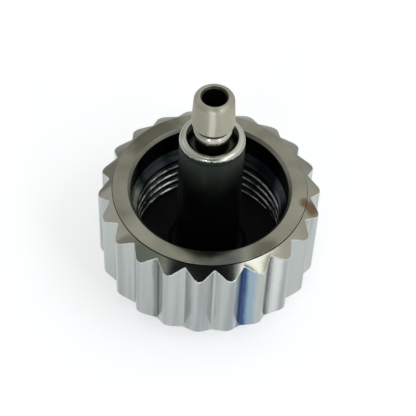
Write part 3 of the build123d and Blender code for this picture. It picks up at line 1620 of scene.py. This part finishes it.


# Steel rolled along the axis: soft upright bands of light and grey, mirroring the floor.
# One valley and its flank carry a blue tint. The next valley carries a painted dark reflection,
# a valley at the left front is darkened with painted shade, and one flank has a painted highlight.
FLUTE_STEEL = SteelFinish(
    "stainless_steel_fluted",
    "#b3b9b5",
    roughness=0.16,
    grain=Grain.DRAWN,
    line_spacing_mm=0.05,
    line_depth_um=0.8,
    patch_colour="#8c8f92",
    patch_share=0.65,
    patch_size_mm=0.32,
    patch_stretch=30.0,
    patch_roughness=0.07,
    stains_and_painted_light=(
        StainAndPaintedLight(294.4, 3.27, 0.27, "#84a2b8", 0.75),
        StainAndPaintedLight(290.8, 3.22, 0.19, "#204474", 0.97),
        StainAndPaintedLight(306.0, 3.27, 0.18, "#3a363e", 0.95),
        StainAndPaintedLight(242.8, 3.22, 0.14, "#5f6466", 0.70),
        StainAndPaintedLight(310.6, 3.40, 0.19, "#dde2dd", 0.70),
    ),
)
# Smoothly turned steel: it mirrors the room sharply, so some teeth shine and the front ones
# go nearly black. A brown mark sits at the right, and a painted dark reflection at the left front.
BEVEL_STEEL = SteelFinish(
    "stainless_steel_turned_bevel",
    "#a9a799",
    roughness=0.12,
    grain=Grain.TURNED,
    line_spacing_mm=0.03,
    line_depth_um=0.5,
    patch_colour="#87867b",
    patch_roughness=0.05,
    stains_and_painted_light=(
        StainAndPaintedLight(350.5, 3.22, 0.30, "#6d4a33", 0.8),
        StainAndPaintedLight(236.0, 3.34, 0.62, "#7d8a7d", 0.75),
    ),
)
# Turned steel of the outer end: a soft, even grey with faint rings.
END_STEEL = SteelFinish(
    "stainless_steel_turned_end",
    "#b4b7b8",
    roughness=0.18,
    grain=Grain.TURNED,
    line_spacing_mm=0.04,
    line_depth_um=0.5,
    patch_colour="#989b9d",
)
# Edges rubbed bare in use, painted paler than steel as a thin highlight line round each tooth.
EDGE_STEEL = SteelFinish(
    "stainless_steel_worn_edge_painted_highlight",
    "#e4e6e2",
    roughness=0.22,
    grain=Grain.TUMBLED,
    line_spacing_mm=0.04,
    line_depth_um=0.4,
    patch_colour="#a9abaa",
    patch_share=0.7,
    patch_size_mm=0.3,
)
# Finely faced steel under a thin film of oil: a warm grey with cloudy patches and one brown
# mark. Painted shade lies at the right front, painted dark reflections at the back left and at
# the front, over the nose's own reflection, and painted pale reflections at the left front and
# the right.
RIM_STEEL = SteelFinish(
    "stainless_steel_fine_turned_rim",
    "#a4a497",
    roughness=0.12,
    grain=Grain.TURNED,
    line_spacing_mm=0.02,
    line_depth_um=0.5,
    patch_colour="#7c7b6c",
    patch_share=0.5,
    patch_roughness=0.05,
    anisotropy=0.4,
    stains_and_painted_light=(
        StainAndPaintedLight(135.0, 2.85, 1.10, "#5f5e52", 0.75),
        StainAndPaintedLight(222.0, 3.20, 0.78, "#c9cbb9", 0.45),
        StainAndPaintedLight(345.0, 2.85, 0.90, "#c4c5b0", 0.35),
        StainAndPaintedLight(305.0, 3.16, 0.60, "#6f6f64", 0.80),
        StainAndPaintedLight(278.0, 3.02, 0.78, "#435357", 0.66),
        StainAndPaintedLight(351.0, 3.02, 0.20, "#6d4a33", 0.75),
    ),
)
# A coarser turned cut: a dull, slightly lighter line round the mouth.
CHAMFER_STEEL = SteelFinish(
    "stainless_steel_turned_chamfer",
    "#8f8e84",
    roughness=0.28,
    grain=Grain.TURNED,
    line_spacing_mm=0.02,
    line_depth_um=0.4,
    patch_colour="#6f6e64",
)
# Steel under dark oil, painted nearly black as the shade deep in the cavity, with five grey
# patches of painted highlight round its right, back and left.
BORE_STEEL = SteelFinish(
    "stainless_steel_oiled_bore_painted_shade",
    "#161a1f",
    roughness=0.34,
    grain=Grain.TURNED,
    line_spacing_mm=0.02,
    line_depth_um=0.6,
    patch_colour="#0f1313",
    stains_and_painted_light=(
        StainAndPaintedLight(16.0, 2.42, 0.50, "#646d6e", 0.75),
        StainAndPaintedLight(62.0, 2.42, 0.50, "#3a4346", 0.60),
        StainAndPaintedLight(112.0, 2.42, 0.50, "#3c4443", 0.60),
        StainAndPaintedLight(142.0, 2.42, 0.50, "#40474a", 0.70),
        StainAndPaintedLight(175.0, 2.42, 0.62, "#7f877c", 0.80),
    ),
)
# Thread crests rubbed bare and painted pale as thin highlights; the lines break up where oil
# lies, and go dark at three places round the bore.
CREST_STEEL = SteelFinish(
    "stainless_steel_worn_crest_painted_highlight",
    "#9fa199",
    roughness=0.24,
    grain=Grain.TURNED,
    line_spacing_mm=0.02,
    line_depth_um=0.4,
    patch_colour="#24282a",
    patch_share=0.95,
    patch_size_mm=0.4,
    stains_and_painted_light=(
        StainAndPaintedLight(5.0, 2.28, 0.45, "#2c3033", 0.70),
        StainAndPaintedLight(110.0, 2.28, 0.60, "#2c3033", 0.85),
        StainAndPaintedLight(151.0, 2.28, 0.22, "#2c3033", 0.75),
    ),
)
# Steel under old oil, painted very dark green-grey as shade in the cavity, with a broad soft
# sheen.
TUBE_STEEL = SteelFinish(
    "stainless_steel_oiled_tube_painted_shade",
    "#343b36",
    roughness=0.30,
    grain=Grain.TURNED,
    line_spacing_mm=0.03,
    line_depth_um=0.4,
    patch_colour="#23292a",
)
# Clean turned steel: pale, with small sharp highlights on its round edge.
COLLAR_STEEL = SteelFinish(
    "stainless_steel_turned_collar",
    "#d2d3c8",
    roughness=0.2,
    grain=Grain.TURNED,
    line_spacing_mm=0.02,
    line_depth_um=0.4,
    patch_colour="#b4b6aa",
)
# Countersunk steel, painted a dull mid grey as shade inside the bush's mouth.
MOUTH_STEEL = SteelFinish(
    "stainless_steel_countersunk_mouth_painted_shade",
    "#77786c",
    roughness=0.26,
    grain=Grain.TURNED,
    line_spacing_mm=0.02,
    line_depth_um=0.4,
    patch_colour="#4d4e44",
    patch_share=0.5,
)
# Turned steel, worn satin: a warm pale grey whose ring-shaped lines draw the light out into
# one upright band, with a painted highlight line up its front.
NOSE_STEEL = SteelFinish(
    "stainless_steel_turned_nose",
    "#c8c6b4",
    roughness=0.45,
    grain=Grain.TURNED,
    line_spacing_mm=0.03,
    line_depth_um=0.6,
    patch_colour="#8f8d7a",
    patch_roughness=0.05,
    anisotropy=0.75,
    stains_and_painted_light=(StainAndPaintedLight(268.0, 0.66, 0.12, "#f2f0e0", 0.85),),
)
# Smoothly turned steel: bright, with two small lamp spots.
BEAD_STEEL = SteelFinish(
    "stainless_steel_turned_bead",
    "#d6d6cb",
    roughness=0.16,
    grain=Grain.TURNED,
    line_spacing_mm=0.02,
    line_depth_um=0.4,
    patch_colour="#b4b3a5",
)
# Steel inside the plunger, painted dark as shade: it goes nearly black in the hole and the neck.
DARK_STEEL = SteelFinish(
    "stainless_steel_inside_plunger_painted_shade",
    "#4c4d46",
    roughness=0.3,
    grain=Grain.TURNED,
    line_spacing_mm=0.03,
    line_depth_um=0.5,
    patch_colour="#32332d",
)
# Drawn wire with a light tumbled skin: an even, slightly cool grey.
SPRING_STEEL = SteelFinish(
    "spring_steel_drawn_wire",
    "#a9abae",
    roughness=0.25,
    grain=Grain.TUMBLED,
    line_spacing_mm=0.05,
    line_depth_um=0.4,
    patch_colour="#7e8184",
)
# Moulded rubber: a matte black floor with almost no sheen.
BLACK_RUBBER = RubberFinish(
    "nitrile_rubber_moulded_black",
    "#030304",
    grain_colour="#07080a",
    roughness=0.80,
    grain_mm=0.05,
)


def main() -> None:
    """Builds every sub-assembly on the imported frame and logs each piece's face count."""
    logging.basicConfig(level=logging.INFO, format="%(name)s: %(message)s")
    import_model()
    Studio().build()
    pieces = [
        FlutedShell().build(FLUTE_STEEL, BEVEL_STEEL, END_STEEL, EDGE_STEEL),
        ThreadedSleeve().build(RIM_STEEL, CHAMFER_STEEL, BORE_STEEL, CREST_STEEL),
        FloorGasket().build(BLACK_RUBBER),
        *Post().build(TUBE_STEEL, BORE_STEEL, COLLAR_STEEL, MOUTH_STEEL),
        Plunger().build(NOSE_STEEL, DARK_STEEL, BEAD_STEEL),
        PlungerSpring().build(SPRING_STEEL),
    ]
    for piece in pieces:
        LOG.info("%s has %d faces", piece.name, len(piece.data.polygons))
    bpy.context.scene.view_settings.view_transform = "Standard"


if __name__ == "__main__":
    main()
